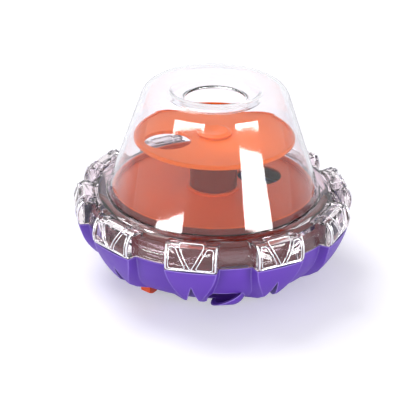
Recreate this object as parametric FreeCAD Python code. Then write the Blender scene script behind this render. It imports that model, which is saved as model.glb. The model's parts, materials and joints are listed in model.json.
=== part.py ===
import FreeCAD, Part
import math
import os

from FreeCAD import Vector

# Treat dispenser: a round-bottomed petal bowl under a clear dome with a funnel mouth.
# Millimetres, +Z up, origin on the floor under the middle of the toy, front towards -Y.
# Angles are in degrees, counted from the front towards +X. The seam is the plane where
# the dome stands on the bowl, and values named _h or _drop are measured up or down from it.

# Layout
SEAM_Z = 50.0
LOBES = 10
LOBE_PITCH = 360.0 / LOBES
LOCKS = 5
LOCK_PITCH = 360.0 / LOCKS
TURN_GAP = 0.3

# Dome: cone wall, rolled crown and funnel mouth, welded into a collar
DOME_WALL = 1.8
SEAM_GAP = 0.15
RING_H = 15.3
RING_R = 82.0
FOOT_R = 75.0
CREST_R = 40.5
CREST_H = 91.5
CROWN_ROLL_R = 11.0
LIP_R = 30.4
LIP_H = 89.2
LIP_CHAMFER = 1.3
WELL_R = 28.0
WELL_FLOOR_H = 83.2
MOUTH_R = 21.6
MOUTH_H = 82.4

# Collar: ten lobes between plain gaps
GAP_R = 91.0
GAP_BULGE_R = GAP_R - 2.1
GAP_BULGE_H = 8.6
LOBE_Y = 96.8
LOBE_BULGE_Y = LOBE_Y + 0.9
LOBE_BULGE_H = 7.5
LOBE_BROW_Y = LOBE_Y - 2.2
LOBE_BROW_H = 15.6
LOBE_TOP_Y = LOBE_Y - 6.6
LOBE_TOP_H = 18.4
LOBE_INNER_Y = LOBE_Y - 13.5
LOBE_INNER_H = 16.1
LOBE_HALF_W = 17.1
PAD_H = 1.0
PAD_MARGIN = 1.5
GROOVE_W = 2.5
PAD_BOTTOM_H = 1.4
SIDE_PAD_TOP_H = 16.2
MID_PAD_TOP_H = 18.0
MID_PAD_HALF_W = 8.6
MID_PAD_TIP_HALF_W = 0.5

# Dome spigot and its bayonet lugs
SPIGOT_INSET = 5.7
SPIGOT_R = GAP_R - SPIGOT_INSET
SPIGOT_WALL = 2.0
SPIGOT_DROP = 6.5
LUG_R = SPIGOT_R + 1.3
LUG_H = 2.9
LUG_SWEEP = 12.0
HOOK_R = SPIGOT_R + 0.4
HOOK_H = 2.9
HOOK_DROP = 0.3
FIRST_LOCK = LOBE_PITCH / 2

# Bowl: valleys, petals and underside
BOWL_WALL = 2.5
EDGE_R = 79.0
VALLEY_MID_R = EDGE_R + 8.2
VALLEY_MID_DROP = 14.0
EDGE_DROP = 28.0
EDGE_ROUND_R = EDGE_R - 1.2
EDGE_ROUND_DROP = 29.3
SKIRT_R = 63.0
SKIRT_DROP = 38.8
PETAL_STEP = 0.7
PETAL_R = LOBE_Y + PETAL_STEP
PETAL_MID_R = PETAL_R - 5.3
PETAL_MID_DROP = 16.0
PETAL_HEEL_R = EDGE_R + 5.3
PETAL_HEEL_DROP = 28.4
PETAL_TIP_R = EDGE_R + 0.6
PETAL_TIP_DROP = 31.6
PETAL_TOP_HALF_W = 17.1
PETAL_MID_HALF_W = 12.5
PETAL_END_HALF_W = 5.2
PETAL_FOOT_TOP_HALF_W = 17.8
PETAL_FOOT_MID_HALF_W = 15.8
PETAL_FOOT_END_HALF_W = 10.6
PETAL_END_DROP = 33.0
NOTCH_TOP_DROP = 13.0
NOTCH_HALF_W = 4.7
NOTCH_DEPTH = 3.0
PETAL_ROOM_DROP = 23.0

# Bowl floor, tray ledge and centre boss
FLOOR_DROP = 29.5
FLOOR_T = 2.2
FLOOR_CORNER_R = EDGE_R - 7.0
FLOOR_FLAT_R = SKIRT_R - 3.0
FLOOR_RISE = 5.5
BOSS_H = 8.0
BOSS_FIT = 0.1
BOSS_WALL = 2.0
LEDGE_R = EDGE_R - 2.0
LEDGE_DROP = 8.5
LEDGE_T = 2.5
LEDGE_ROOT_DROP = 17.0

# Centre column and its pivot
COLUMN_R = 16.5
COLUMN_WALL = 2.5
COLUMN_DECK_T = 2.2
COLUMN_SCREW_DECK_T = 8.0
PIVOT_R = 8.0
PIVOT_WALL = 2.2
PIVOT_FIT = 0.1
RETAINER_R = 12.0
RETAINER_T = 2.4
RETAINER_EDGE_T = 1.2
RETAINER_PLUG_H = 5.0
RETAINER_DIMPLE_R = 9.0
RETAINER_DIMPLE_DEPTH = 0.9

# Trays
LOWER_R = FOOT_R - 4.5
LOWER_FLOOR_H = 16.2
LOWER_RIM_H = 19.6
LOWER_STEP_H = 1.2
LOWER_STEP_W = 1.2
LOWER_FLOOR_T = 2.4
LOWER_HOLE_AT_R = 38.0
LOWER_HOLE_ANGLE = 128.0
UPPER_R = LOWER_R - 15.0
UPPER_FLOOR_H = 56.0
UPPER_RIM_H = 57.0
UPPER_FLOOR_T = 2.5
UPPER_HOLE_AT_R = 34.0
UPPER_HOLE_ANGLE = -60.0
TRAY_HOLE_R = 16.0
TRAY_RIM_W = 2.0
TRAY_EDGE_R = 0.7
TRAY_SKIRT_TOP_H = 14.0
FLANGE_R = SPIGOT_R - SPIGOT_WALL - 0.5
TRAY_SKIRT_FOOT_R = FLANGE_R - 2.2
FLANGE_T = 2.3
COLLAR_GAP = 0.3
COLLAR_W = 2.0
COLLAR_H = 1.6

# Outlet: scoop, shutter and lever
SCOOP_ANGLE = 15.5
SCOOP_AT_R = 73.6
SCOOP_DROP = 25.6
SCOOP_END_X = 3.4
SCOOP_LENGTH = 20.4
THROAT_LENGTH = 16.0
SCOOP_R = 10.4
SCOOP_WALL = 1.8
SCOOP_TILT = 32.0
SCOOP_RIM_DROP = 30.0
THROAT_IN_R = EDGE_R - 12.2
SHUTTER_OUT_R = FLOOR_CORNER_R - 0.4
SHUTTER_IN_R = SHUTTER_OUT_R - 5.8
SHUTTER_T = 1.8
SHUTTER_GAP = 0.3
SHUTTER_BOSS_R = 2.6
SHUTTER_BOSS_H = 4.5
SHUTTER_TAIL = 4.0
GATE_ANGLE = 36.5
GATE_SWEEP = 20.0
GATE_TOP_DROP = 17.4
GATE_T = 1.6
GATE_GAP = 0.5
LEVER_ANGLE = -29.0
LEVER_TRAVEL = 21.0
LEVER_NECK_OUT_R = SHUTTER_OUT_R - 0.7
LEVER_NECK_IN_R = LEVER_NECK_OUT_R - 4.2
LEVER_NECK_SWEEP = 4.4
LEVER_SWEEP = 6.2
LEVER_R = LEVER_NECK_OUT_R + 3.3
LEVER_DROP = 38.4
LEVER_TIP_DROP = 36.8
LEVER_GAP = 0.5
SLOT_GAP = 0.5

# Base: cap, weight, pad and foot
CAP_WALL = 2.4
CAP_MID_R = SKIRT_R - 10.0
CAP_MID_Z = 5.0
CAP_FLAT_R = 39.5
CAP_FLAT_Z = 0.6
CAP_UPSTAND_GAP = 0.3
CAP_UPSTAND_T = 1.8
CAP_UPSTAND_H = 2.2
WEIGHT_R = 27.0
WEIGHT_T = 11.0
WEIGHT_GAP = 0.3
RIB_T = 2.0
RIB_LENGTH = 8.0
RIB_H = 7.0
PAD_R = 25.0
PAD_T = 4.0
PRESS_RIB_IN_R = 12.0
FOOT_PAD_R = 24.0
FOOT_PAD_T = 1.6
FOOT_PAD_GAP = 0.2
FOOT_PAD_EDGE = 0.5

# Screws
SCREW_AT_R = 34.2
SCREWS = 3
SCREW_PITCH = 360.0 / SCREWS
FIRST_SCREW = 60.0
SCREW_JOINT_Z = 12.0
SCREW_BOSS_R = 3.8
SCREW_PILLAR_R = 4.5
SCREW_R = 1.5
SCREW_HEAD_R = 3.0
SCREW_HEAD_T = 1.6
SCREW_HEAD_GAP = 0.4
SCREW_SEAT_T = 2.0
SCREW_LENGTH = 9.0
COLUMN_SCREW_R = 2.0
COLUMN_SCREW_HEAD_R = 4.0
COLUMN_SCREW_HEAD_T = 2.0
COLUMN_SCREW_LENGTH = 9.0
LEVER_SCREW_R = 1.0
LEVER_SCREW_HEAD_R = 1.7
LEVER_SCREW_HEAD_T = 1.2
LEVER_SCREW_END_GAP = 0.6

PAD_TOP_Z = CAP_FLAT_Z + CAP_WALL + WEIGHT_T + PAD_T
PETAL_FAR_TOP_Y = PETAL_R + 6.5
PETAL_FAR_END_Y = PETAL_R - 4.5
PETAL_NEAR_TOP_Y = PETAL_R - 11.5
PETAL_NEAR_END_Y = PETAL_R - 27.5
PETAL_LEVELS = (
    (0.0, PETAL_R - 1.5, PETAL_TOP_HALF_W, PETAL_R - 8.3, PETAL_FOOT_TOP_HALF_W),
    (PETAL_MID_DROP, PETAL_MID_R - 1.0, PETAL_MID_HALF_W, PETAL_MID_R - 7.7, PETAL_FOOT_MID_HALF_W),
    (PETAL_END_DROP, PETAL_TIP_R - 0.6, PETAL_END_HALF_W, PETAL_TIP_R - 4.6, PETAL_FOOT_END_HALF_W),
)
FAR = 130.0
UP = Vector(0, 0, 1)


def height(value):
    """Height above the floor of something measured up from the seam."""
    return SEAM_Z + value


def depth(value):
    """Height above the floor of something measured down from the seam."""
    return SEAM_Z - value


def is_point(step):
    return not isinstance(step[0], tuple)


def path_edges(start, steps):
    """Edges in the XZ plane: a step is a point for a line, or (middle, end) for an arc."""
    edges = []
    here = start
    for step in steps:
        a = Vector(here[0], 0, here[1])
        if is_point(step):
            end = step
            edges.append(Part.LineSegment(a, Vector(end[0], 0, end[1])).toShape())
        else:
            middle, end = step
            arc = Part.Arc(a, Vector(middle[0], 0, middle[1]), Vector(end[0], 0, end[1]))
            edges.append(arc.toShape())
        here = end
    return edges, here


def section(start, *steps):
    """Closed face in the XZ plane, where X is the radius."""
    edges, here = path_edges(start, steps)
    if math.dist(here, start) > 1e-6:
        edges.append(Part.LineSegment(Vector(here[0], 0, here[1]), Vector(start[0], 0, start[1])).toShape())
    return Part.Face(Part.Wire(edges))


def walled(wall, start, *steps):
    """Section of constant thickness on the right-hand side of an open path."""
    edges, _ = path_edges(start, steps)
    return Part.Wire(edges).makeOffset2D(wall, 2, True, True)


def turned(shape, angle):
    """Copy turned about the vertical axis, from the front towards +X."""
    copy = shape.copy()
    copy.rotate(Vector(), UP, angle)
    return copy


def spun(face, centre=0.0, sweep=360.0):
    """Solid made by turning a section, over a sweep centred on an angle."""
    if sweep >= 360.0:
        return face.revolve(Vector(), UP, 360.0)
    return turned(face, centre - 90.0 - sweep / 2).revolve(Vector(), UP, sweep)


def ring(r_in, r_out, z_low, z_high, centre=0.0, sweep=360.0):
    """Plain ring, or a stretch of one."""
    face = section((r_in, z_low), (r_out, z_low), (r_out, z_high), (r_in, z_high))
    return spun(face, centre, sweep)


def rod(radius, z_low, z_high, at_r=0.0, angle=0.0):
    """Upright cylinder that stands at a radius and an angle."""
    cylinder = Part.makeCylinder(radius, z_high - z_low, Vector(0, -at_r, z_low))
    return turned(cylinder, angle)


def hex_post(flat_r, z_low, z_high, at_r):
    """Upright six-sided post in front of the axis, with flats towards and away from it."""
    corner_r = flat_r / math.cos(math.radians(30))
    corners = []
    for i in range(7):
        angle = math.radians(60 * i)
        corners.append(Vector(corner_r * math.cos(angle), corner_r * math.sin(angle) - at_r, z_low))
    return Part.Face(Part.makePolygon(corners)).extrude(UP * (z_high - z_low))


def radial_rib(r_in, r_out, thickness, z_low, z_high):
    """Upright rib in front of the axis."""
    return Part.makeBox(thickness, r_out - r_in, z_high - z_low, Vector(-thickness / 2, -r_out, z_low))


def copies(shape, count, pitch, first=0.0):
    return [turned(shape, first + pitch * i) for i in range(count)]


def inset(arc, gap):
    """The same arc moved towards its centre."""
    points = [Vector(r, 0, z) for r, z in arc]
    centre = Part.Arc(*points).toShape().Curve.Center
    moved = []
    for point in points:
        out = point - centre
        out.normalize()
        moved.append(point - out * gap)
    return [(p.x, p.z) for p in moved]


def upright_prism(points, near_y, far_y):
    """Outline seen from the front, pushed through from near_y to far_y."""
    corners = [Vector(x, near_y, z) for x, z in points]
    wire = Part.makePolygon(corners + corners[:1])
    return Part.Face(wire).extrude(Vector(0, far_y - near_y, 0))


def tangent_point(outside, centre, radius):
    """Where the line from an outside point touches a circle on its upper, outer side."""
    dr = outside[0] - centre[0]
    dz = outside[1] - centre[1]
    turn = math.atan2(dz, dr) + math.acos(radius / math.hypot(dr, dz))
    return centre[0] + radius * math.cos(turn), centre[1] + radius * math.sin(turn), turn


def cone_line():
    """Foot of the dome's cone on the flat ring, and the point and angle where it meets the crown's roll."""
    roll = (CREST_R, height(CREST_H) - CROWN_ROLL_R)
    return (FOOT_R, height(RING_H)), tangent_point((FOOT_R, height(RING_H)), roll, CROWN_ROLL_R)


def cone_r(z):
    """Outer radius of the cone, or of the line that continues it, at a height."""
    foot, (touch_r, touch_z, _) = cone_line()
    return foot[0] + (touch_r - foot[0]) * (z - foot[1]) / (touch_z - foot[1])


def crown_section():
    """Dome wall from its welded foot over the rolled crown into the mouth."""
    _, (touch_r, touch_z, turn) = cone_line()
    half = (turn + math.pi / 2) / 2
    shoulder = (CREST_R + CROWN_ROLL_R * math.cos(half),
                height(CREST_H) - CROWN_ROLL_R + CROWN_ROLL_R * math.sin(half))
    crest = (CREST_R, height(CREST_H))
    lip = (LIP_R, height(LIP_H))
    well_top = (LIP_R - LIP_CHAMFER, height(LIP_H) - LIP_CHAMFER)
    well_foot = (WELL_R, height(WELL_FLOOR_H))
    mouth = (MOUTH_R, height(MOUTH_H))
    foot_z = height(RING_H) - DOME_WALL
    return walled(DOME_WALL, (cone_r(foot_z), foot_z), (touch_r, touch_z), (shoulder, crest),
                  lip, well_top, well_foot, mouth)


def mitred(points, gap):
    """Corners of an outline, drawn counter-clockwise, with every side moved inwards by a gap."""
    moved = []
    for i, (x, z) in enumerate(points):
        ax, az = points[i - 1]
        bx, bz = points[(i + 1) % len(points)]
        into = ((x - ax) / math.hypot(x - ax, z - az), (z - az) / math.hypot(x - ax, z - az))
        out = ((bx - x) / math.hypot(bx - x, bz - z), (bz - z) / math.hypot(bx - x, bz - z))
        turn = 1 + into[0] * out[0] + into[1] * out[1]
        moved.append((x - gap * (into[1] + out[1]) / turn, z + gap * (into[0] + out[0]) / turn))
    return moved


def lobe_bar(half_width, gap):
    """Front lobe as a straight bar with a barrel section, from the axis to below the seam."""
    below = height(-LOBE_TOP_H)
    skin = [(0, below), (LOBE_Y, below), (LOBE_Y, height(0)), (LOBE_BULGE_Y, height(LOBE_BULGE_H)),
            (LOBE_BROW_Y, height(LOBE_BROW_H)), (LOBE_TOP_Y, height(LOBE_TOP_H)),
            (LOBE_INNER_Y, height(LOBE_INNER_H)), (0, height(LOBE_INNER_H))]
    face = turned(section(*mitred(skin, gap)), -90.0)
    face.translate(Vector(-half_width, 0, 0))
    return face.extrude(Vector(2 * half_width, 0, 0))


def front_block(half_width, z_low):
    """Upright block in front of the axis that limits a form to a width."""
    return Part.makeBox(2 * half_width, FAR - LOBE_INNER_Y / 2, FAR, Vector(-half_width, -FAR, z_low))


def pad_prisms():
    """Outlines of the three raised pads on the front lobe: a wedge between two side pads."""
    low = height(PAD_BOTTOM_H)
    mid_top = height(MID_PAD_TOP_H)
    side_top = height(SIDE_PAD_TOP_H)
    slope = (MID_PAD_HALF_W - MID_PAD_TIP_HALF_W) / (mid_top - low)
    inner_low = MID_PAD_TIP_HALF_W + GROOVE_W * math.hypot(1, slope)
    inner_top = inner_low + slope * (side_top - low)
    outer = LOBE_HALF_W - PAD_MARGIN
    wedge = [(-MID_PAD_HALF_W, mid_top), (MID_PAD_HALF_W, mid_top),
             (MID_PAD_TIP_HALF_W, low), (-MID_PAD_TIP_HALF_W, low)]
    right = [(inner_top, side_top), (outer, side_top), (outer, low), (inner_low, low)]
    left = [(-x, z) for x, z in right]
    return [upright_prism(outline, -LOBE_INNER_Y, -FAR) for outline in (wedge, right, left)]


def make_dome():
    dome = spun(crown_section()).removeSplitter()
    dome.translate(UP * SEAM_GAP)
    return dome


def make_dome_collar():
    gap_arc = [(GAP_R, height(0)), (GAP_BULGE_R, height(GAP_BULGE_H)), (RING_R, height(RING_H))]
    foot, bulge, top = gap_arc
    body = spun(section((0, height(0)), foot, (bulge, top), (0, height(RING_H))))
    lobe = lobe_bar(LOBE_HALF_W, PAD_H).common(front_block(LOBE_HALF_W, height(0)))
    pads = lobe_bar(LOBE_HALF_W, 0.0).common(Part.makeCompound(pad_prisms()))
    body = body.fuse(copies(lobe, LOBES, LOBE_PITCH) + copies(pads, LOBES, LOBE_PITCH))
    spigot_top = ring(SPIGOT_R - SPIGOT_WALL, SPIGOT_R, height(0), height(LOBE_TOP_H)).common(body)
    foot, bulge, top = inset(gap_arc, DOME_WALL)
    ceiling = height(RING_H) - DOME_WALL
    below = height(-SPIGOT_WALL)
    hollow = spun(section((0, below), (foot[0], below), foot, bulge, top, (top[0], ceiling), (0, ceiling)))
    low = height(0)
    top = height(LOBE_TOP_H)
    cone = spun(section((0, low), (cone_r(low), low), (cone_r(top), top), (0, top)))
    side = LOBE_HALF_W - DOME_WALL
    pocket_low = height(-DOME_WALL)
    pocket_top = height(LOBE_INNER_H) - DOME_WALL
    pocket = upright_prism([(-side, pocket_low), (side, pocket_low), (side, pocket_top), (-side, pocket_top)],
                           SPIGOT_WALL - SPIGOT_R, DOME_WALL + PAD_H - LOBE_BROW_Y)
    body = body.cut([hollow, cone] + copies(pocket, LOBES, LOBE_PITCH))
    spigot = ring(SPIGOT_R - SPIGOT_WALL, SPIGOT_R, depth(SPIGOT_DROP), height(0))
    lug_bottom = depth(SPIGOT_DROP)
    lug = ring(SPIGOT_R - SPIGOT_WALL / 2, LUG_R, lug_bottom, lug_bottom + LUG_H, 0.0, LUG_SWEEP)
    lugs = copies(lug, LOCKS, LOCK_PITCH, FIRST_LOCK)
    collar = body.fuse([spigot_top, spigot] + lugs).removeSplitter()
    collar.translate(UP * SEAM_GAP)
    return collar


def valley_arc(gap=0.0):
    """Side of the bowl between the petals, moved inwards by a gap."""
    valley = [(GAP_R, height(0)), (VALLEY_MID_R, depth(VALLEY_MID_DROP)), (EDGE_R, depth(EDGE_DROP))]
    return inset(valley, gap)


def room_section():
    """Inside of the bowl: side wall, corner and the floor that rises to the middle."""
    rim, middle, foot = valley_arc(BOWL_WALL)
    top = height(BOWL_WALL)
    floor = depth(FLOOR_DROP)
    return section((0, top), (rim[0], top), rim, (middle, foot), (FLOOR_CORNER_R, floor),
                   (FLOOR_FLAT_R, floor), (COLUMN_R, floor + FLOOR_RISE), (0, floor + FLOOR_RISE))


def skirt_inner(drop):
    """Radius of the inner side of the bowl's underside at a drop."""
    run = EDGE_ROUND_R - SKIRT_R
    fall = SKIRT_DROP - EDGE_ROUND_DROP
    return SKIRT_R + (SKIRT_DROP - drop) * run / fall - BOWL_WALL * math.hypot(run, fall) / fall


def petal_outline(top_y, end_y, grow):
    """Outline of the front petal on a plane that leans from top_y down to end_y."""
    corners = []
    for drop, face_r, face_w, foot_r, foot_w in PETAL_LEVELS:
        y = top_y + (end_y - top_y) * drop / PETAL_END_DROP
        share = (y - foot_r) / (face_r - foot_r)
        corners.append((foot_w + (face_w - foot_w) * share + grow, -y, depth(drop)))
    right = [Vector(x, y, z) for x, y, z in corners]
    left = [Vector(-x, y, z) for x, y, z in corners]
    edges = [
        Part.LineSegment(left[0], right[0]).toShape(),
        Part.Arc(*right).toShape(),
        Part.LineSegment(right[2], left[2]).toShape(),
        Part.Arc(*reversed(left)).toShape(),
    ]
    return Part.Wire(edges)


def petal_wedge(grow=0.0):
    """Tapering body of the front petal, from behind the wall to past its face."""
    face = petal_outline(PETAL_FAR_TOP_Y, PETAL_FAR_END_Y, grow)
    foot = petal_outline(PETAL_NEAR_TOP_Y, PETAL_NEAR_END_Y, grow)
    return Part.makeLoft([foot, face], True, True)


def petal_section(gap):
    """Petal seen in section from the axis, its face moved inwards by a gap."""
    rim, middle, heel = inset([(PETAL_R, height(0)), (PETAL_MID_R, depth(PETAL_MID_DROP)),
                               (PETAL_HEEL_R, depth(PETAL_HEEL_DROP))], gap)
    tip = (PETAL_TIP_R - gap, depth(PETAL_TIP_DROP) + gap)
    return section((0, height(0)), rim, (middle, heel), tip, (0, tip[1]))


def notch_prism():
    """Pointed notch in the lower end of the front petal."""
    top = depth(NOTCH_TOP_DROP)
    side = NOTCH_HALF_W * (PETAL_END_DROP - NOTCH_TOP_DROP) / (PETAL_TIP_DROP - NOTCH_TOP_DROP)
    return upright_prism([(0, top), (side, depth(PETAL_END_DROP)), (-side, depth(PETAL_END_DROP))],
                         -SKIRT_R, -FAR)


def make_petal():
    petal = spun(petal_section(0.0)).common(petal_wedge())
    notch = notch_prism().cut(spun(petal_section(NOTCH_DEPTH)))
    return petal.cut(notch)


def petal_room():
    """Hollow behind the front petal, open to the inside of the bowl."""
    rim, middle, foot = valley_arc(BOWL_WALL)
    low = depth(PETAL_ROOM_DROP)
    top = height(BOWL_WALL)
    face = section((0, top), (PETAL_R - BOWL_WALL, top), (PETAL_R - BOWL_WALL, height(0)),
                   (PETAL_MID_R - BOWL_WALL - NOTCH_DEPTH, depth(NOTCH_TOP_DROP)), (foot[0], low), (0, low))
    return spun(face).common(petal_wedge(-BOWL_WALL).fuse(front_block(LOBE_HALF_W - BOWL_WALL, height(0))))


def scoop(radius, length):
    """Round-ended bar beside the bowl's edge, on which the outlet's scoop and throat are built."""
    end = Vector(SCOOP_END_X, -SCOOP_AT_R, depth(SCOOP_DROP))
    bar = Part.makeCylinder(radius, length, end, Vector(-1, 0, 0))
    return bar.fuse(Part.makeSphere(radius, end))


def mouth_side():
    """Block on the open side of the scoop's slanting rim."""
    block = Part.makeBox(FAR, FAR, FAR, Vector(-FAR / 2, -FAR, 0))
    block.rotate(Vector(), Vector(0, 1, 0), -SCOOP_TILT)
    block.translate(Vector(0, 0, depth(SCOOP_RIM_DROP)))
    return block


def lever_slot():
    """Slot through the bowl's floor and underside for the neck of the lever."""
    margin = math.degrees(SLOT_GAP / LEVER_NECK_IN_R)
    sweep = LEVER_NECK_SWEEP + LEVER_TRAVEL + 2 * margin
    middle = LEVER_ANGLE - LEVER_TRAVEL / 2
    return ring(LEVER_NECK_IN_R - SLOT_GAP, LEVER_NECK_OUT_R + SLOT_GAP,
                depth(SKIRT_DROP), depth(FLOOR_DROP) + 1, middle, sweep)


def make_bowl():
    rim, middle, edge = valley_arc()
    body = spun(section((0, height(0)), rim, (middle, edge), (EDGE_ROUND_R, depth(EDGE_ROUND_DROP)),
                        (SKIRT_R, depth(SKIRT_DROP)), (0, depth(SKIRT_DROP))))
    body = body.fuse(copies(make_petal(), LOBES, LOBE_PITCH))
    body = body.cut([spun(room_section())] + copies(petal_room(), LOBES, LOBE_PITCH))
    floor = depth(FLOOR_DROP + FLOOR_T)
    bottom = depth(SKIRT_DROP + FLOOR_T)
    cellar = section((0, bottom), (skirt_inner(SKIRT_DROP - CAP_UPSTAND_H), bottom),
                     (skirt_inner(SKIRT_DROP - CAP_UPSTAND_H), depth(SKIRT_DROP - CAP_UPSTAND_H)),
                     (skirt_inner(FLOOR_DROP + FLOOR_T), floor), (FLOOR_FLAT_R, floor),
                     (COLUMN_R, floor + FLOOR_RISE), (0, floor + FLOOR_RISE))
    body = body.cut(spun(cellar))
    ledge = spun(section((LEDGE_R, depth(LEDGE_DROP)), (GAP_R - BOWL_WALL, depth(LEDGE_DROP)),
                         (EDGE_R + BOWL_WALL * 2, depth(LEDGE_ROOT_DROP)),
                         (LEDGE_R, depth(LEDGE_DROP + LEDGE_T))))
    hook = ring(HOOK_R, GAP_R - BOWL_WALL / 2, depth(HOOK_DROP + HOOK_H), depth(HOOK_DROP), 0.0, LUG_SWEEP)
    hooks = copies(hook, LOCKS, LOCK_PITCH, FIRST_LOCK)
    boss_r = COLUMN_R - COLUMN_WALL - BOSS_FIT
    boss_top = depth(FLOOR_DROP - FLOOR_RISE) + BOSS_H
    boss = rod(boss_r, floor + FLOOR_RISE, boss_top)
    boss_hollow = rod(boss_r - BOSS_WALL, bottom, boss_top - COLUMN_DECK_T)
    press_rib = radial_rib(PRESS_RIB_IN_R, PAD_R, RIB_T, PAD_TOP_Z, floor + FLOOR_RISE)
    press_rib = press_rib.cut(spun(room_section()))
    floor_z = floor + FLOOR_RISE * (FLOOR_FLAT_R - SCREW_AT_R) / (FLOOR_FLAT_R - COLUMN_R)
    screw_boss = hex_post(SCREW_BOSS_R, SCREW_JOINT_Z, floor_z + FLOOR_T / 2, SCREW_AT_R)
    screw_hole = rod(SCREW_R, SCREW_JOINT_Z - 1, floor_z, SCREW_AT_R)
    body = body.fuse([ledge, boss] + hooks + copies(press_rib, SCREWS, SCREW_PITCH)
                     + copies(screw_boss, SCREWS, SCREW_PITCH, FIRST_SCREW))
    body = body.cut([boss_hollow, make_column_screw(), lever_slot()]
                    + copies(screw_hole, SCREWS, SCREW_PITCH, FIRST_SCREW))
    beside = scoop(SCOOP_R, SCOOP_LENGTH).cut([mouth_side(), spun(room_section()), rod(SKIRT_R, 0, FAR)])
    throat = scoop(SCOOP_R - SCOOP_WALL, THROAT_LENGTH).common(ring(THROAT_IN_R, FAR, 0, FAR))
    body = body.fuse(turned(beside, SCOOP_ANGLE)).cut(turned(throat, SCOOP_ANGLE))
    return body.removeSplitter()


def make_lower_tray():
    top = height(LOWER_FLOOR_H)
    bottom = top - LOWER_FLOOR_T
    rim_top = height(LOWER_RIM_H)
    rim_in = LOWER_R - TRAY_RIM_W
    seat = depth(LEDGE_DROP)
    hub = COLUMN_R + COLLAR_GAP
    skirt_top = (LOWER_R, height(TRAY_SKIRT_TOP_H))
    skirt_foot = (TRAY_SKIRT_FOOT_R, seat + FLANGE_T)
    inner_foot = TRAY_SKIRT_FOOT_R - LOWER_FLOOR_T
    tray = spun(section(
        (hub, bottom), (hub, top + COLLAR_H), (hub + COLLAR_W, top + COLLAR_H), (hub + COLLAR_W, top),
        (rim_in - LOWER_STEP_W, top), (rim_in - LOWER_STEP_W, top + LOWER_STEP_H),
        (rim_in, top + LOWER_STEP_H), (rim_in, rim_top), (LOWER_R, rim_top),
        skirt_top, skirt_foot, (FLANGE_R, skirt_foot[1]), (FLANGE_R, seat),
        (inner_foot, seat), (inner_foot, skirt_foot[1]), (LOWER_R - LOWER_FLOOR_T, bottom)))
    return tray.cut(rod(TRAY_HOLE_R, bottom - 1, rim_top, LOWER_HOLE_AT_R, LOWER_HOLE_ANGLE))


def make_upper_tray():
    top = height(UPPER_FLOOR_H)
    bottom = top - UPPER_FLOOR_T
    rim_top = height(UPPER_RIM_H)
    rim_in = UPPER_R - TRAY_RIM_W
    bore = PIVOT_R + PIVOT_FIT
    tray = spun(section((bore, bottom), (bore, top), (rim_in, top), (rim_in, rim_top),
                        (UPPER_R - TRAY_EDGE_R, rim_top),
                        (UPPER_R, rim_top - TRAY_EDGE_R), (UPPER_R, bottom + TRAY_EDGE_R),
                        (UPPER_R - TRAY_EDGE_R, bottom)))
    return tray.cut(rod(TRAY_HOLE_R, bottom - 1, rim_top, UPPER_HOLE_AT_R, UPPER_HOLE_ANGLE))


def make_centre_column():
    foot = depth(FLOOR_DROP - FLOOR_RISE)
    shoulder = height(UPPER_FLOOR_H - UPPER_FLOOR_T) - TURN_GAP
    bore = COLUMN_R - COLUMN_WALL
    pivot_top = height(UPPER_FLOOR_H) + TURN_GAP
    pivot_bore = PIVOT_R - PIVOT_WALL
    deck = foot + BOSS_H + BOSS_FIT
    deck_top = deck + COLUMN_SCREW_DECK_T
    return spun(section(
        (bore, foot), (COLUMN_R, foot), (COLUMN_R, shoulder), (PIVOT_R, shoulder), (PIVOT_R, pivot_top),
        (pivot_bore, pivot_top), (pivot_bore, shoulder - COLUMN_DECK_T), (bore, shoulder - COLUMN_DECK_T),
        (bore, deck_top), (COLUMN_SCREW_R, deck_top), (COLUMN_SCREW_R, deck), (bore, deck)))


def make_tray_retainer():
    under = height(UPPER_FLOOR_H) + TURN_GAP
    plug = PIVOT_R - PIVOT_WALL
    top = under + RETAINER_T
    return spun(section((0, under - RETAINER_PLUG_H), (plug, under - RETAINER_PLUG_H), (plug, under),
                        (RETAINER_R, under), (RETAINER_R, under + RETAINER_EDGE_T),
                        (RETAINER_DIMPLE_R, top), (0, top - RETAINER_DIMPLE_DEPTH)))


def screw(radius, head_radius, head_t, length, low):
    """Countersunk screw that points up from the flat of its head."""
    return spun(section((0, low), (head_radius, low), (radius, low + head_t), (radius, low + length),
                        (0, low + length)))


def column_screw_seat():
    """Height of the underside of the bowl's centre boss."""
    return depth(FLOOR_DROP - FLOOR_RISE) + BOSS_H - COLUMN_DECK_T


def make_column_screw():
    return screw(COLUMN_SCREW_R, COLUMN_SCREW_HEAD_R, COLUMN_SCREW_HEAD_T, COLUMN_SCREW_LENGTH,
                 column_screw_seat())


def gate_wall(gap):
    """Space inside the bowl, kept clear of its wall by a gap."""
    return spun(room_section().makeOffset2D(-gap, 2))


def make_outlet_shutter():
    bottom = depth(FLOOR_DROP) + SHUTTER_GAP
    top = bottom + SHUTTER_T
    tail = LEVER_ANGLE + SHUTTER_TAIL
    gate_edge = GATE_ANGLE - GATE_SWEEP / 2
    band = ring(SHUTTER_IN_R, SHUTTER_OUT_R - SHUTTER_GAP, bottom, top,
                180.0 + (tail + gate_edge) / 2, 360.0 + tail - gate_edge)
    span = ring(SHUTTER_IN_R, FAR, bottom, depth(GATE_TOP_DROP), GATE_ANGLE, GATE_SWEEP)
    gate = gate_wall(GATE_GAP).common(span).cut(gate_wall(GATE_GAP + GATE_T))
    neck_r = (LEVER_NECK_IN_R + LEVER_NECK_OUT_R) / 2
    boss = rod(SHUTTER_BOSS_R, bottom, bottom + SHUTTER_BOSS_H, neck_r, LEVER_ANGLE)
    return band.fuse([gate, boss]).cut(make_lever_screw()).removeSplitter()


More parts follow.
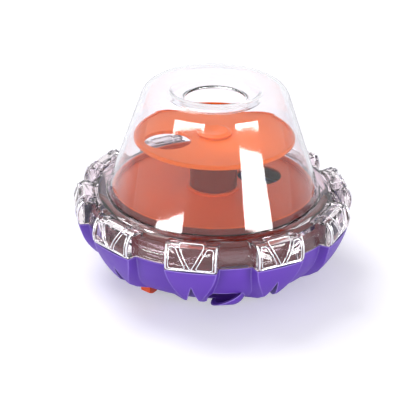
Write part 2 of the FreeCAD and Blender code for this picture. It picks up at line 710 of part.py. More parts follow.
def make_outlet_lever():
    neck_top = depth(FLOOR_DROP) + SHUTTER_GAP
    bottom = depth(LEVER_DROP)
    run = EDGE_ROUND_R - SKIRT_R
    fall = SKIRT_DROP - EDGE_ROUND_DROP
    clear = LEVER_GAP * math.hypot(run, fall) / run

    def under_skirt(r):
        return depth(SKIRT_DROP) + (r - SKIRT_R) * fall / run - clear

    neck = ring(LEVER_NECK_IN_R, LEVER_NECK_OUT_R, bottom + LEVER_GAP, neck_top,
                LEVER_ANGLE, LEVER_NECK_SWEEP)
    finger = section((LEVER_NECK_IN_R - SLOT_GAP, bottom), (LEVER_NECK_OUT_R, bottom),
                     (LEVER_R, depth(LEVER_TIP_DROP)), (LEVER_R, under_skirt(LEVER_R)),
                     (LEVER_NECK_IN_R - SLOT_GAP, under_skirt(LEVER_NECK_IN_R - SLOT_GAP)))
    lever = spun(finger, LEVER_ANGLE, LEVER_SWEEP).fuse(neck)
    return lever.cut(make_lever_screw()).removeSplitter()


def make_lever_screw():
    low = depth(LEVER_DROP)
    top = depth(FLOOR_DROP) + SHUTTER_GAP + SHUTTER_BOSS_H - LEVER_SCREW_END_GAP
    one = screw(LEVER_SCREW_R, LEVER_SCREW_HEAD_R, LEVER_SCREW_HEAD_T, top - low, low)
    one.translate(Vector(0, -(LEVER_NECK_IN_R + LEVER_NECK_OUT_R) / 2, 0))
    return turned(one, LEVER_ANGLE)


def make_base_cap():
    rim = (SKIRT_R, depth(SKIRT_DROP))
    outer = [(CAP_FLAT_R, CAP_FLAT_Z), (CAP_MID_R, CAP_MID_Z), rim]
    middle_in = (CAP_MID_R - CAP_WALL / 2, CAP_MID_Z + CAP_WALL)
    top_r = skirt_inner(SKIRT_DROP - CAP_UPSTAND_H) - CAP_UPSTAND_GAP
    floor = CAP_FLAT_Z + CAP_WALL
    shell = spun(section((0, CAP_FLAT_Z), *outer, (top_r, rim[1]), (top_r, rim[1] + CAP_UPSTAND_H),
                         (top_r - CAP_UPSTAND_T, rim[1] + CAP_UPSTAND_H), (top_r - CAP_UPSTAND_T, rim[1]),
                         middle_in, (CAP_FLAT_R, floor), (0, floor)))
    rib_in_r = WEIGHT_R + WEIGHT_GAP
    rib = radial_rib(rib_in_r, rib_in_r + RIB_LENGTH, RIB_T, floor - CAP_WALL / 2, floor + RIB_H)
    pillar = hex_post(SCREW_PILLAR_R, floor - CAP_WALL / 2, SCREW_JOINT_Z, SCREW_AT_R)
    well = rod(SCREW_HEAD_R + SCREW_HEAD_GAP, 0, SCREW_JOINT_Z - SCREW_SEAT_T, SCREW_AT_R)
    recess = rod(FOOT_PAD_R + FOOT_PAD_GAP, 0, FOOT_PAD_T)
    cap = shell.fuse(copies(rib, SCREWS, SCREW_PITCH) + copies(pillar, SCREWS, SCREW_PITCH, FIRST_SCREW))
    wells = copies(well, SCREWS, SCREW_PITCH, FIRST_SCREW)
    return cap.cut(wells + [make_base_screws(), recess]).removeSplitter()


def make_base_screws():
    one = screw(SCREW_R, SCREW_HEAD_R, SCREW_HEAD_T, SCREW_LENGTH, SCREW_JOINT_Z - SCREW_SEAT_T)
    one.translate(Vector(0, -SCREW_AT_R, 0))
    return Part.makeCompound(copies(one, SCREWS, SCREW_PITCH, FIRST_SCREW))


def make_ballast_weight():
    low = CAP_FLAT_Z + CAP_WALL
    return rod(WEIGHT_R, low, low + WEIGHT_T)


def make_ballast_pad():
    return rod(PAD_R, PAD_TOP_Z - PAD_T, PAD_TOP_Z)


def make_foot_pad():
    return spun(section((0, 0), (FOOT_PAD_R - FOOT_PAD_EDGE, 0), (FOOT_PAD_R, FOOT_PAD_EDGE),
                        (FOOT_PAD_R, FOOT_PAD_T), (0, FOOT_PAD_T)))


NODES = {
    "dome": make_dome,
    "dome_collar": make_dome_collar,
    "bowl": make_bowl,
    "upper_tray": make_upper_tray,
    "lower_tray": make_lower_tray,
    "centre_column": make_centre_column,
    "tray_retainer": make_tray_retainer,
    "column_screw": make_column_screw,
    "outlet_shutter": make_outlet_shutter,
    "outlet_lever": make_outlet_lever,
    "lever_screw": make_lever_screw,
    "base_cap": make_base_cap,
    "base_screws": make_base_screws,
    "ballast_weight": make_ballast_weight,
    "ballast_pad": make_ballast_pad,
    "foot_pad": make_foot_pad,
}

os.makedirs("parts", exist_ok=True)
for name, make in NODES.items():
    shape = make()
    print(name, len(shape.Solids), round(shape.Volume), shape.isValid())
    shape.exportStep(f"parts/{name}.step")
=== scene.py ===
import json
import math

import bpy
from mathutils import Matrix, Vector

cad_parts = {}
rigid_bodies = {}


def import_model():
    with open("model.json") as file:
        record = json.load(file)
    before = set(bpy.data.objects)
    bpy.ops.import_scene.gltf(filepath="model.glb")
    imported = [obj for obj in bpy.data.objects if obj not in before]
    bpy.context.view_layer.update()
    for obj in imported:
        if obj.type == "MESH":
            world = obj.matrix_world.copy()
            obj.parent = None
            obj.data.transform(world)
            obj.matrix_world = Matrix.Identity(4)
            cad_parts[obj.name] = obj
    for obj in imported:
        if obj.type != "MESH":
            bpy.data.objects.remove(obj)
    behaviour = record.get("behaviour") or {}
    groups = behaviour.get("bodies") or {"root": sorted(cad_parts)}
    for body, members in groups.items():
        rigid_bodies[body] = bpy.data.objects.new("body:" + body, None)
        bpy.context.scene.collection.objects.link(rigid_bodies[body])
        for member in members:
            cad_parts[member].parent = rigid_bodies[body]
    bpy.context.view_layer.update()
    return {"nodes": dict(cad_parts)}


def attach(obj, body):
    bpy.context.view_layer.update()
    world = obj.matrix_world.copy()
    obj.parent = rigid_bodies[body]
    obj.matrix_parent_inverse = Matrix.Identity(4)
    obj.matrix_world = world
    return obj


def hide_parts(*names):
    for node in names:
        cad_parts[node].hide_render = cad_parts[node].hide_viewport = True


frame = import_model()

MM = 0.001
NODES = frame["nodes"]

# The seam is the plane where the dome stands on the bowl.
SEAM = 50.0 * MM

# Camera: a long lens from the front, a little to the right and well above
CAMERA_AIM = Vector((0.0, 0.0, SEAM))
CAMERA_DISTANCE = 0.8411
CAMERA_RISE = math.radians(26.97)
CAMERA_TURN = math.radians(8.07)
CAMERA_ROLL = 0.02275
CAMERA_LENS = 102.1
SENSOR_WIDTH = 36.0
FRAME_PX = 416
AIM_PX = (212.89, 205.49)

# The crown's outline: radius and height in mm, angles in degrees
CROWN_FOOT = (74.93, 65.5)
CROWN_TOUCH = (50.88, 134.28)
CROWN_ROLL_AT = (40.5, 130.65)
CROWN_ROLL_R = 11.0
CROWN_ROLL_FROM = 19.3
CROWN_ROLL_TO = 90
CROWN_WELL = [(36.5, 141.65), (32.6, 140.9), (30.7, 139.6), (29.4, 138.1), (28.8, 136.2), (28.2, 134.3),
              (26.9, 133.5), (24.5, 133.0), (21.9, 132.6)]
CROWN_MOUTH_LIP = [(21.3, 132.2), (21.1, 131.6), (21.3, 131.0)]
CROWN_WALL = 1.8
# The foot is cut level, so the leaning wall is a little wider there.
CROWN_FOOT_WALL = CROWN_WALL * 1.06
CROWN_SIDE_STEPS = 24
CROWN_ROLL_STEPS = 16
CROWN_TURN_STEPS = 144

# The lobes of the collar: distance out and height in mm, and the fields raised on their faces
LOBES = 10
LOBE_FOOT = (96.8, 50.15)
LOBE_BULGE = (97.7, 57.65)
LOBE_BROW = (94.6, 65.75)
LOBE_TOP = (90.2, 68.55)
LOBE_BROW_CURVE = 1.6
LOBE_HALF = 16.3
WEDGE_TOP = 68.0
WEDGE_TOP_HALF = 8.6
WEDGE_TIP_HALF = 0.5
GROOVE = 2.6
SIDE_TOP = 66.2
SIDE_OUT = 14.6
PAD_LOW = 52.2
CORNER = 2.2
CORNER_SHARE = 0.45
CORNER_STEPS = 4
PAD_RIDGE_R = 0.38
PAD_RIDGE_DEPTH = 0.5
FRAME_RIDGE_R = 0.72
FRAME_RIDGE_DEPTH = 0.95
FRAME_RIDGE_RISE = 0.8
FRAME_RIDGE_DROP = 1.6
RIDGE_STEP = 1.2

# Painted shade on the lower tray in mm: its skirt below this height and the outer side of its rim
SKIRT_SHADE_TOP = 66.0
SKIRT_SHADE_FADE = 1.5
RIM_SHADE_R = 69.9
RIM_SHADE_TOP = 68.9
RIM_SHADE_FADE = 0.4

# Rounding of the moulded edges in mm; edges sharper than this angle in degrees are rounded
COLLAR_EDGE = 0.9
BOWL_EDGE = 0.7
SHARP_ANGLE = 24

# Clean-up of meshes: merging in mm, flat faces and smooth shading by angle in degrees
MERGE = 0.002
SPIN_MERGE = 0.005
FLAT_ANGLE = 0.6
CAD_SMOOTH = 30
MOULDED_SMOOTH = 32
CROWN_SMOOTH = 28

# Patterns of the materials in mm
CLEAR_RIPPLE = 22
RIDGE_RIPPLE = 4
TONE_DRIFT = 35
# Real spark-eroded grain is too fine to show in the render, so it is drawn this coarse.
GRAIN = 0.45

# Light: how much the floor is lifted near and far from the object, distances in metres, and the
# level of the room as light
WHITE = (1, 1, 1, 1)
FLOOR_SIZE = 12.0
FLOOR_LIFT = 0.28
FAR_FLOOR_LIFT = 0.7
FLOOR_NEAR = 0.5
FLOOR_FAR = 1.3
ROOM_LIGHT = 0.4
# Name, place in metres, width, height, roll in degrees and watts
SOFTBOXES = (
    ("key_softbox", (-0.5, 0.3, 1.15), 0.8, 0.8, 0, 9.0),
    ("right_strip", (1.0, -0.68, 0.268), 0.64, 0.135, -9, 4.6),
    ("right_upper_strip", (0.962, -0.661, 0.398), 0.74, 0.06, -8, 2.4),
    ("left_strip", (-0.72, -1.0, 0.2), 0.62, 0.07, 9, 2.8),
    ("left_upper_strip", (-0.55, -0.98, 0.412), 0.95, 0.062, 7, 2.9),
)


def linear(hex_colour):
    """sRGB hex to the linear colour that a shader takes."""
    values = [int(hex_colour[i:i + 2], 16) / 255 for i in (1, 3, 5)]
    out = [v / 12.92 if v <= 0.04045 else ((v + 0.055) / 1.055) ** 2.4 for v in values]
    return (*out, 1.0)


def node(tree, kind, links=None, **settings):
    """Adds a shader node, sets its settings and sockets and links its inputs."""
    made = tree.nodes.new(kind)
    for key, value in settings.items():
        setattr(made, key, value)
    for key, value in (links or {}).items():
        socket = made.inputs[key]
        if isinstance(value, bpy.types.NodeSocket):
            tree.links.new(value, socket)
        else:
            socket.default_value = value
    return made


def new_material(name):
    """An empty material and its node tree."""
    material = bpy.data.materials.new(name)
    material.use_nodes = True
    material.node_tree.nodes.clear()
    return material, material.node_tree


def base_tone(material):
    """The shader of a finished material and the colour that feeds it."""
    shader = next(n for n in material.node_tree.nodes if n.type == "BSDF_PRINCIPLED")
    return shader, shader.inputs["Base Color"].links[0].from_socket


def clear_styrene(name, tint, sheen):
    """Clear SAN, injection moulded and polished: sharp reflections and a slow ripple in the wall."""
    material, tree = new_material(name)
    place = node(tree, "ShaderNodeTexCoord").outputs["Object"]
    flow = node(tree, "ShaderNodeTexNoise", {
        "Vector": place, "Scale": 1 / (CLEAR_RIPPLE * MM), "Detail": 2.0})
    haze = node(tree, "ShaderNodeMapRange", {
        "Value": flow.outputs["Fac"], "To Min": 0.015, "To Max": 0.05})
    wave = node(tree, "ShaderNodeBump", {
        "Height": flow.outputs["Fac"], "Strength": 0.04, "Distance": 1 * MM})
    shader = node(tree, "ShaderNodeBsdfPrincipled", {
        "Base Color": linear(tint), "Roughness": haze.outputs["Result"], "IOR": 1.5,
        "Specular IOR Level": sheen, "Transmission Weight": 1.0, "Normal": wave.outputs["Normal"]})
    node(tree, "ShaderNodeOutputMaterial", {"Surface": shader.outputs["BSDF"]})
    return material


def satin_abs(name, body, shade, roughness, sheen=0.5):
    """Injection-moulded ABS with a fine spark-eroded grain, a little uneven in tone."""
    material, tree = new_material(name)
    place = node(tree, "ShaderNodeTexCoord").outputs["Object"]
    drift = node(tree, "ShaderNodeTexNoise", {
        "Vector": place, "Scale": 1 / (TONE_DRIFT * MM), "Detail": 3.0})
    grain = node(tree, "ShaderNodeTexNoise", {"Vector": place, "Scale": 1 / (GRAIN * MM), "Detail": 2.0})
    tone = node(tree, "ShaderNodeMapRange", {
        "Value": drift.outputs["Fac"], "From Min": 0.3, "From Max": 0.7, "To Min": 0.0, "To Max": 0.35})
    colour = node(tree, "ShaderNodeMix", {
        0: tone.outputs["Result"], 6: linear(body), 7: linear(shade)}, data_type="RGBA")
    gloss = node(tree, "ShaderNodeMapRange", {
        "Value": drift.outputs["Fac"], "To Min": roughness - 0.06, "To Max": roughness + 0.06})
    skin = node(tree, "ShaderNodeBump", {
        "Height": grain.outputs["Fac"], "Strength": 0.12, "Distance": 0.15 * MM})
    shader = node(tree, "ShaderNodeBsdfPrincipled", {
        "Base Color": colour.outputs[2], "Roughness": gloss.outputs["Result"], "IOR": 1.53,
        "Specular IOR Level": sheen, "Normal": skin.outputs["Normal"]})
    node(tree, "ShaderNodeOutputMaterial", {"Surface": shader.outputs["BSDF"]})
    return material


def petal_abs(name, body, shade, painted_valley_shade, edge):
    """Purple ABS of the bowl, with painted shade where petals meet and a paler painted highlight along the
    rounded moulded edges.
    """
    material = satin_abs(name, body, shade, 0.36)
    tree = material.node_tree
    shader, tone = base_tone(material)
    # Painted shade: ambient occlusion mixes the colour towards the dark valley colour where petals meet.
    painted_shade_occlusion = node(tree, "ShaderNodeAmbientOcclusion", {"Distance": 9 * MM}, samples=8)
    depth = node(tree, "ShaderNodeMapRange", {
        "Value": painted_shade_occlusion.outputs["AO"], "From Min": 0.45, "From Max": 0.95, "To Min": 1.0, "To Max": 0.0})
    # Painted highlight: where the bevelled normal leans away from the face, the colour turns paler.
    soft = node(tree, "ShaderNodeBevel", {"Radius": 1.5 * MM}, samples=6)
    flat = node(tree, "ShaderNodeNewGeometry").outputs["Normal"]
    turn = node(tree, "ShaderNodeVectorMath", {0: soft.outputs["Normal"], 1: flat},
                operation="DOT_PRODUCT")
    painted_light_edge_mask = node(tree, "ShaderNodeMapRange", {
        "Value": turn.outputs["Value"], "From Min": 0.992, "From Max": 0.94, "To Min": 0.0, "To Max": 0.8})
    tone_with_painted_highlight = node(tree, "ShaderNodeMix", {
        0: painted_light_edge_mask.outputs["Result"], 6: tone, 7: linear(edge)}, data_type="RGBA")
    tone_with_painted_shade = node(tree, "ShaderNodeMix", {
        0: depth.outputs["Result"], 6: tone_with_painted_highlight.outputs[2], 7: linear(painted_valley_shade)}, data_type="RGBA")
    tree.links.new(tone_with_painted_shade.outputs[2], shader.inputs["Base Color"])
    return material


def tray_abs(name, body, shade, painted_skirt_shade):
    """Orange ABS of the lower tray: bright where light falls in, with a deep brown-red painted shade under
    the rim and on the rim's outer side.
    """
    material = satin_abs(name, body, shade, 0.3, sheen=0.15)
    tree = material.node_tree
    shader, tone = base_tone(material)
    place = node(tree, "ShaderNodeTexCoord").outputs["Object"]
    height = node(tree, "ShaderNodeSeparateXYZ", {0: place}).outputs["Z"]
    flat = node(tree, "ShaderNodeVectorMath", {0: place, 1: (1, 1, 0)}, operation="MULTIPLY")
    reach = node(tree, "ShaderNodeVectorMath", {0: flat.outputs[0]}, operation="LENGTH")
    # Painted shade: the skirt under the rim and the rim's outer side are mixed towards the dark skirt
    # colour.
    skirt_shade_mask = node(tree, "ShaderNodeMapRange", {
        "Value": height, "From Min": (SKIRT_SHADE_TOP - SKIRT_SHADE_FADE) * MM, "From Max": SKIRT_SHADE_TOP * MM,
        "To Min": 1.0, "To Max": 0.0})
    edge = node(tree, "ShaderNodeMapRange", {
        "Value": height, "From Min": (RIM_SHADE_TOP - RIM_SHADE_FADE) * MM, "From Max": RIM_SHADE_TOP * MM,
        "To Min": 1.0, "To Max": 0.0})
    outside = node(tree, "ShaderNodeMath", {0: reach.outputs["Value"], 1: RIM_SHADE_R * MM},
                   operation="GREATER_THAN")
    painted_light_edge_mask = node(tree, "ShaderNodeMath", {0: edge.outputs["Result"], 1: outside.outputs[0]},
               operation="MULTIPLY")
    depth = node(tree, "ShaderNodeMath", {0: skirt_shade_mask.outputs["Result"], 1: painted_light_edge_mask.outputs[0]},
                 operation="MAXIMUM")
    tone_with_painted_shade = node(tree, "ShaderNodeMix", {
        0: depth.outputs[0], 6: tone, 7: linear(painted_skirt_shade)}, data_type="RGBA")
    tree.links.new(tone_with_painted_shade.outputs[2], shader.inputs["Base Color"])
    return material


def bright_ridge():
    """Tight rounding of a clear ridge: light is totally reflected inside it, so it reads as a white line."""
    material, tree = new_material("clear_ridge")
    place = node(tree, "ShaderNodeTexCoord").outputs["Object"]
    flow = node(tree, "ShaderNodeTexNoise", {
        "Vector": place, "Scale": 1 / (RIDGE_RIPPLE * MM), "Detail": 2.0})
    haze = node(tree, "ShaderNodeMapRange", {
        "Value": flow.outputs["Fac"], "To Min": 0.1, "To Max": 0.3})
    shader = node(tree, "ShaderNodeBsdfPrincipled", {
        "Base Color": linear("#FDFCFF"), "Roughness": haze.outputs["Result"], "Metallic": 0.9})
    node(tree, "ShaderNodeOutputMaterial", {"Surface": shader.outputs["BSDF"]})
    return material


def zinc_steel(name, colour, grain_mm):
    """Zinc-plated steel: bright, slightly cloudy plating over a turned surface."""
    material, tree = new_material(name)
    place = node(tree, "ShaderNodeTexCoord").outputs["Object"]
    cloud = node(tree, "ShaderNodeTexNoise", {"Vector": place, "Scale": 1 / (grain_mm * MM), "Detail": 4.0})
    rough = node(tree, "ShaderNodeMapRange", {
        "Value": cloud.outputs["Fac"], "To Min": 0.25, "To Max": 0.45})
    shader = node(tree, "ShaderNodeBsdfPrincipled", {
        "Base Color": linear(colour), "Metallic": 1.0, "Roughness": rough.outputs["Result"]})
    node(tree, "ShaderNodeOutputMaterial", {"Surface": shader.outputs["BSDF"]})
    return material


def soft_rubber(name, colour, cell_mm):
    """Dark soft rubber or closed-cell foam: matt, with fine pores drawn a little coarser than they are."""
    material, tree = new_material(name)
    place = node(tree, "ShaderNodeTexCoord").outputs["Object"]
    pores = node(tree, "ShaderNodeTexVoronoi", {"Vector": place, "Scale": 1 / (cell_mm * MM)})
    skin = node(tree, "ShaderNodeBump", {
        "Height": pores.outputs["Distance"], "Strength": 0.3, "Distance": 0.2 * MM})
    shader = node(tree, "ShaderNodeBsdfPrincipled", {
        "Base Color": linear(colour), "Roughness": 0.8, "Normal": skin.outputs["Normal"]})
    node(tree, "ShaderNodeOutputMaterial", {"Surface": shader.outputs["BSDF"]})
    return material


def dress(names, material):
    """Gives the frame's own pieces their material."""
    for name in names:
        mesh = NODES[name].data
        mesh.materials.clear()
        mesh.materials.append(material)


def dress_pieces(clear, clear_collar, purple):
    """Every piece of the frame in the finish of the real one."""
    orange = satin_abs("orange_satin_abs", "#FA6C02", "#F25E02", 0.3, sheen=0.18)
    # The last colour is the painted shade on the lower tray's skirt and rim.
    tray_orange = tray_abs("lower_tray_abs", "#E85A04", "#D84C02", "#7C1406")
    # Painted shade: the centre column's orange is made this dark because it stands in the shade between the
    # trays.
    painted_shade_orange = satin_abs("deep_orange_abs", "#7A1E04", "#641603", 0.3, sheen=0.2)
    lever_orange = satin_abs("lever_orange_abs", "#D4480A", "#C23E06", 0.32)
    zinc = zinc_steel("zinc_plated_screws", "#C9CBD0", 0.6)
    ballast = zinc_steel("zinc_plated_ballast", "#A9ABB0", 2.5)
    foam = soft_rubber("closed_cell_foam", "#26262A", 1.2)
    rubber = soft_rubber("soft_foot_rubber", "#1E1E22", 0.8)
    dress(["dome"], clear)
    dress(["dome_collar"], clear_collar)
    dress(["bowl", "base_cap"], purple)
    dress(["upper_tray", "tray_retainer"], orange)
    dress(["outlet_shutter", "outlet_lever"], lever_orange)
    dress(["lower_tray"], tray_orange)
    dress(["centre_column"], painted_shade_orange)
    dress(["column_screw", "base_screws", "lever_screw"], zinc)
    dress(["ballast_weight"], ballast)
    dress(["ballast_pad"], foam)
    dress(["foot_pad"], rubber)


def pick(pieces):
    """Selects these pieces and nothing else."""
    bpy.ops.object.select_all(action="DESELECT")
    for piece in pieces:
        piece.select_set(True)
    bpy.context.view_layer.objects.active = pieces[0]


def shade_by_angle(pieces, angle):
    """Smooth shading that keeps edges sharper than the angle."""
    pick(pieces)
    bpy.ops.object.shade_smooth_by_angle(angle=math.radians(angle))
    bpy.ops.object.select_all(action="DESELECT")


def softened(name, piece_name, body, width_mm):
    """Copy of a CAD node with every sharp edge rounded, as the mould leaves it."""
    pick([NODES[name]])
    bpy.ops.object.duplicate()
    piece = bpy.context.active_object
    piece.name = piece_name
    bpy.ops.object.parent_clear(type="CLEAR_KEEP_TRANSFORM")
    bpy.ops.object.mode_set(mode="EDIT")
    bpy.ops.mesh.select_all(action="SELECT")
    bpy.ops.mesh.remove_doubles(threshold=MERGE * MM)
    bpy.ops.mesh.dissolve_limited(angle_limit=math.radians(FLAT_ANGLE))
    bpy.ops.mesh.normals_make_consistent(inside=False)
    bpy.ops.object.mode_set(mode="OBJECT")
    edge = piece.modifiers.new("moulded_edges", "BEVEL")
    edge.width = width_mm * MM
    edge.segments = 2
    edge.limit_method = "ANGLE"
    edge.angle_limit = math.radians(SHARP_ANGLE)
    bpy.ops.object.modifier_apply(modifier=edge.name)
    shade_by_angle([piece], MOULDED_SMOOTH)
    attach(piece, body)
    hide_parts(name)


def arc_points(centre, radius, start, end, count):
    """Points of an arc in the (radius, height) plane, angles in degrees."""
    turns = [math.radians(start + (end - start) * i / count) for i in range(count + 1)]
    return [(centre[0] + radius * math.cos(t), centre[1] + radius * math.sin(t)) for t in turns]


def offset_path(path, depth):
    """The same path moved to its right-hand side by the depth, or to its left by a negative one."""
    moved = []
    for i, (r, z) in enumerate(path):
        before = Vector(path[max(i - 1, 0)])
        after = Vector(path[min(i + 1, len(path) - 1)])
        along = (after - before).normalized()
        moved.append((r + along.y * depth, z - along.x * depth))
    return moved


def spun_piece(name, profile, steps):
    """Draws a closed outline point by point and spins it round the middle axis."""
    bpy.ops.object.select_all(action="DESELECT")
    bpy.ops.mesh.primitive_plane_add(size=MM, location=(0, 0, 0))
    piece = bpy.context.active_object
    piece.name = name
    bpy.ops.object.mode_set(mode="EDIT")
    bpy.ops.mesh.select_all(action="SELECT")
    bpy.ops.mesh.merge(type="CENTER")
    bpy.ops.transform.translate(value=(profile[0][0] * MM, 0, profile[0][1] * MM))
    for before, after in zip(profile, profile[1:] + profile[:1]):
        step = ((after[0] - before[0]) * MM, 0, (after[1] - before[1]) * MM)
        bpy.ops.mesh.extrude_region_move(TRANSFORM_OT_translate={"value": step})
    bpy.ops.mesh.select_all(action="SELECT")
    bpy.ops.mesh.remove_doubles(threshold=MERGE * MM)
    bpy.ops.mesh.spin(steps=steps, angle=math.radians(360), center=(0, 0, 0), axis=(0, 0, 1))
    bpy.ops.mesh.select_all(action="SELECT")
    bpy.ops.mesh.remove_doubles(threshold=SPIN_MERGE * MM)
    bpy.ops.mesh.normals_make_consistent(inside=False)
    bpy.ops.object.mode_set(mode="OBJECT")
    bpy.ops.object.transform_apply(location=True, rotation=True, scale=True)
    shade_by_angle([piece], CROWN_SMOOTH)
    return piece


def make_crown(clear):
    """Clear cone with its rolled crown and the well that leads into the mouth."""
    outside = [CROWN_FOOT]
    for i in range(1, CROWN_SIDE_STEPS):
        share = i / CROWN_SIDE_STEPS
        outside.append(tuple(a + (b - a) * share for a, b in zip(CROWN_FOOT, CROWN_TOUCH)))
    outside += arc_points(CROWN_ROLL_AT, CROWN_ROLL_R, CROWN_ROLL_FROM, CROWN_ROLL_TO, CROWN_ROLL_STEPS)
    outside += CROWN_WELL
    inside = offset_path(outside, -CROWN_WALL)
    inside[0] = (CROWN_FOOT[0] - CROWN_FOOT_WALL, CROWN_FOOT[1])
    piece = spun_piece("crown_moulding", outside + CROWN_MOUTH_LIP + inside[::-1], CROWN_TURN_STEPS)
    piece.data.materials.append(clear)
    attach(piece, "dome")
    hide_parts("dome")


def arc_through(a, b, c):
    """Centre and radius of the circle through three points of the (radius, height) plane."""
    (ax, ay), (bx, by), (cx, cy) = a, b, c
    aa = ax * ax + ay * ay
    bb = bx * bx + by * by
    cc = cx * cx + cy * cy
    d = 2 * (ax * (by - cy) + bx * (cy - ay) + cx * (ay - by))
    x = (aa * (by - cy) + bb * (cy - ay) + cc * (ay - by)) / d
    y = (aa * (cx - bx) + bb * (ax - cx) + cc * (bx - ax)) / d
    return (x, y), math.hypot(ax - x, ay - y)


def lobe_face(height):
    """How far out the lobe's face stands at a height."""
    if height <= LOBE_BROW[1]:
        centre, radius = arc_through(LOBE_FOOT, LOBE_BULGE, LOBE_BROW)
        return centre[0] + math.sqrt(max(radius ** 2 - (height - centre[1]) ** 2, 0.0))
    share = min((height - LOBE_BROW[1]) / (LOBE_TOP[1] - LOBE_BROW[1]), 1.0)
    return LOBE_BROW[0] + (LOBE_TOP[0] - LOBE_BROW[0]) * share ** LOBE_BROW_CURVE


def rounded(corners, closed=True):
    """The same outline with each corner turned into a short curve."""
    out = []
    for i, corner in enumerate(corners):
        if not closed and i in (0, len(corners) - 1):
            out.append(corner)
            continue
        here = Vector(corner)
        before = Vector(corners[i - 1]) - here
        after = Vector(corners[(i + 1) % len(corners)]) - here
        reach = min(CORNER, before.length * CORNER_SHARE, after.length * CORNER_SHARE)
        start = here + before.normalized() * reach
        end = here + after.normalized() * reach
        for step in range(CORNER_STEPS + 1):
            share = step / CORNER_STEPS
            out.append(tuple(start.lerp(here, share).lerp(here.lerp(end, share), share)))
    return out


def ridge_path(corners, depth, closed=True):
    """Points just under the lobe's face along straight lines between (across, height) corners."""
    points = []
    pairs = zip(corners, corners[1:] + corners[:1]) if closed else zip(corners, corners[1:])
    for (x0, z0), (x1, z1) in pairs:
        steps = max(int(math.hypot(x1 - x0, z1 - z0) / RIDGE_STEP), 1)
        for i in range(steps):
            x = x0 + (x1 - x0) * i / steps
            z = z0 + (z1 - z0) * i / steps
            points.append((x, lobe_face(z) - depth, z))
    if not closed:
        x, z = corners[-1]
        points.append((x, lobe_face(z) - depth, z))
    return points


def ridge_lines(name, paths, radius_mm, material, closed=True):
    """Round beads along the paths, repeated on every lobe."""
    curve = bpy.data.curves.new(name, "CURVE")
    curve.dimensions = "3D"
    curve.bevel_depth = radius_mm * MM
    curve.bevel_resolution = 2
    curve.use_fill_caps = True
    for lobe in range(LOBES):
        turn = math.radians(360 / LOBES * lobe)
        for path in paths:
            line = curve.splines.new("POLY")
            line.points.add(len(path) - 1)
            line.use_cyclic_u = closed
            for point, (x, y, z) in zip(line.points, path):
                point.co = ((x * math.cos(turn) + y * math.sin(turn)) * MM,
                            (x * math.sin(turn) - y * math.cos(turn)) * MM, z * MM, 1.0)
    piece = bpy.data.objects.new(name, curve)
    bpy.context.scene.collection.objects.link(piece)
    pick([piece])
    bpy.ops.object.convert(target="MESH")
    piece = bpy.context.active_object
    bpy.ops.object.shade_smooth()
    bpy.ops.object.select_all(action="DESELECT")
    piece.data.materials.clear()
    piece.data.materials.append(material)
    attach(piece, "dome")


def make_lobe_ridges(ridge):
    """Moulded edges of the lobes: an outer frame each, a wedge that points down and two side fields."""
    lean = (WEDGE_TOP_HALF - WEDGE_TIP_HALF) / (WEDGE_TOP - PAD_LOW)
    top_in = WEDGE_TIP_HALF + GROOVE + (SIDE_TOP - PAD_LOW) * lean
    wedge = [(-WEDGE_TOP_HALF, WEDGE_TOP), (-WEDGE_TIP_HALF, PAD_LOW), (WEDGE_TIP_HALF, PAD_LOW),
             (WEDGE_TOP_HALF, WEDGE_TOP)]
    left = [(-SIDE_OUT, SIDE_TOP), (-SIDE_OUT, PAD_LOW), (-WEDGE_TIP_HALF - GROOVE, PAD_LOW),
            (-top_in, SIDE_TOP)]
    right = [(-x, z) for x, z in reversed(left)]
    frame_top = LOBE_TOP[1] - FRAME_RIDGE_DROP
    frame_foot = LOBE_FOOT[1] + FRAME_RIDGE_RISE
    outer = [(-LOBE_HALF, frame_top), (-LOBE_HALF, frame_foot), (LOBE_HALF, frame_foot),
             (LOBE_HALF, frame_top)]
    fields = [ridge_path(rounded(shape), PAD_RIDGE_DEPTH) for shape in (wedge, left, right)]
    ridge_lines("pad_ridges", fields, PAD_RIDGE_R, ridge)
    frames = [ridge_path(rounded(outer, closed=False), FRAME_RIDGE_DEPTH, closed=False)]
    ridge_lines("lobe_frames", frames, FRAME_RIDGE_R, ridge, closed=False)


def seen_rays(tree, paths):
    """One for rays from the lens and for rays that came through clear plastic, else nought."""
    either = node(tree, "ShaderNodeMath", {
        0: paths.outputs["Is Camera Ray"], 1: paths.outputs["Is Transmission Ray"]}, operation="MAXIMUM")
    return either.outputs[0]


def make_floor():
    """White floor that keeps a soft shadow, lifted more where the lamps no longer reach it."""
    bpy.ops.mesh.primitive_plane_add(size=FLOOR_SIZE, location=(0, 0, 0))
    floor = bpy.context.active_object
    floor.name = "studio_floor"
    material, tree = new_material("white_floor")
    seen = seen_rays(tree, node(tree, "ShaderNodeLightPath"))
    place = node(tree, "ShaderNodeTexCoord").outputs["Object"]
    reach = node(tree, "ShaderNodeVectorMath", {0: place}, operation="LENGTH")
    amount = node(tree, "ShaderNodeMapRange", {
        "Value": reach.outputs["Value"], "From Min": FLOOR_NEAR, "From Max": FLOOR_FAR,
        "To Min": FLOOR_LIFT, "To Max": FAR_FLOOR_LIFT})
    lift = node(tree, "ShaderNodeMath", {0: seen, 1: amount.outputs["Result"]}, operation="MULTIPLY")
    glow = node(tree, "ShaderNodeEmission", {"Strength": lift.outputs[0], "Color": WHITE})
    matt = node(tree, "ShaderNodeBsdfDiffuse", {"Color": linear("#F4F3F8")})
    both = node(tree, "ShaderNodeAddShader", {0: glow.outputs[0], 1: matt.outputs[0]})
    node(tree, "ShaderNodeOutputMaterial", {"Surface": both.outputs[0]})
    floor.data.materials.append(material)


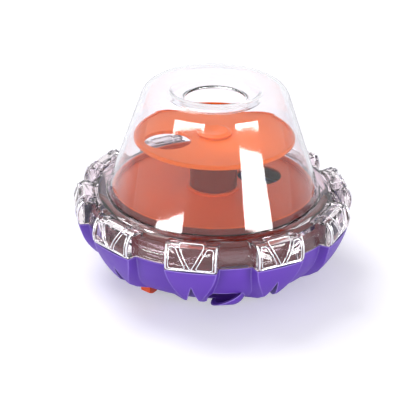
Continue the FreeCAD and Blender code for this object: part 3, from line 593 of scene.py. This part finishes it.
def make_room():
    """White surroundings for what is seen, seen through or mirrored, and a softer level as light."""
    world = bpy.data.worlds.new("white_room")
    bpy.context.scene.world = world
    world.use_nodes = True
    tree = world.node_tree
    tree.nodes.clear()
    paths = node(tree, "ShaderNodeLightPath")
    seen = node(tree, "ShaderNodeMath", {0: seen_rays(tree, paths), 1: paths.outputs["Is Glossy Ray"]},
                operation="MAXIMUM")
    power = node(tree, "ShaderNodeMix", {0: seen.outputs[0], 2: ROOM_LIGHT, 3: 1.0})
    sky = node(tree, "ShaderNodeBackground", {"Color": WHITE, "Strength": power.outputs[0]})
    node(tree, "ShaderNodeOutputWorld", {"Surface": sky.outputs[0]})


def make_softboxes():
    """A large softbox above and behind, and low strips whose mirror images are the dome's windows."""
    for name, place, width, height, roll, watts in SOFTBOXES:
        lamp = bpy.data.lights.new(name, "AREA")
        lamp.shape = "RECTANGLE"
        lamp.size = width
        lamp.size_y = height
        lamp.energy = watts
        holder = bpy.data.objects.new(name, lamp)
        bpy.context.scene.collection.objects.link(holder)
        holder.location = place
        facing = (CAMERA_AIM - Vector(place)).to_track_quat("-Z", "Y").to_matrix()
        holder.rotation_euler = (facing @ Matrix.Rotation(math.radians(roll), 3, "Z")).to_euler()


def make_camera():
    """The photo's camera: the seam's middle falls on the same pixel as in the photo."""
    lens = bpy.data.cameras.new("product_camera")
    lens.lens = CAMERA_LENS
    lens.sensor_width = SENSOR_WIDTH
    lens.shift_x = (FRAME_PX / 2 - AIM_PX[0]) / FRAME_PX
    lens.shift_y = (AIM_PX[1] - FRAME_PX / 2) / FRAME_PX
    camera = bpy.data.objects.new("product_camera", lens)
    bpy.context.scene.collection.objects.link(camera)
    flat = CAMERA_DISTANCE * math.cos(CAMERA_RISE)
    camera.location = CAMERA_AIM + Vector((flat * math.sin(CAMERA_TURN), -flat * math.cos(CAMERA_TURN),
                                           CAMERA_DISTANCE * math.sin(CAMERA_RISE)))
    look = (CAMERA_AIM - camera.location).to_track_quat("-Z", "Y").to_matrix().to_4x4()
    turn = look @ Matrix.Rotation(CAMERA_ROLL, 4, "Z")
    camera.rotation_euler = turn.to_euler()
    bpy.context.scene.camera = camera


clear_crown = clear_styrene("clear_crown", "#FBFCFF", 0.32)
clear_collar = clear_styrene("clear_collar", "#FBF2F7", 0.08)
# The last two colours are the painted valley shade and the painted edge highlight.
purple = petal_abs("purple_satin_abs", "#6035AE", "#552DA0", "#2A1268", "#AC92EA")
dress_pieces(clear_crown, clear_collar, purple)
shade_by_angle(list(NODES.values()), CAD_SMOOTH)
make_crown(clear_crown)
softened("dome_collar", "collar_moulding", "dome", COLLAR_EDGE)
make_lobe_ridges(bright_ridge())
softened("bowl", "bowl_moulding", "base", BOWL_EDGE)

make_floor()
make_room()
make_softboxes()
make_camera()
bpy.context.scene.view_settings.view_transform = "Standard"
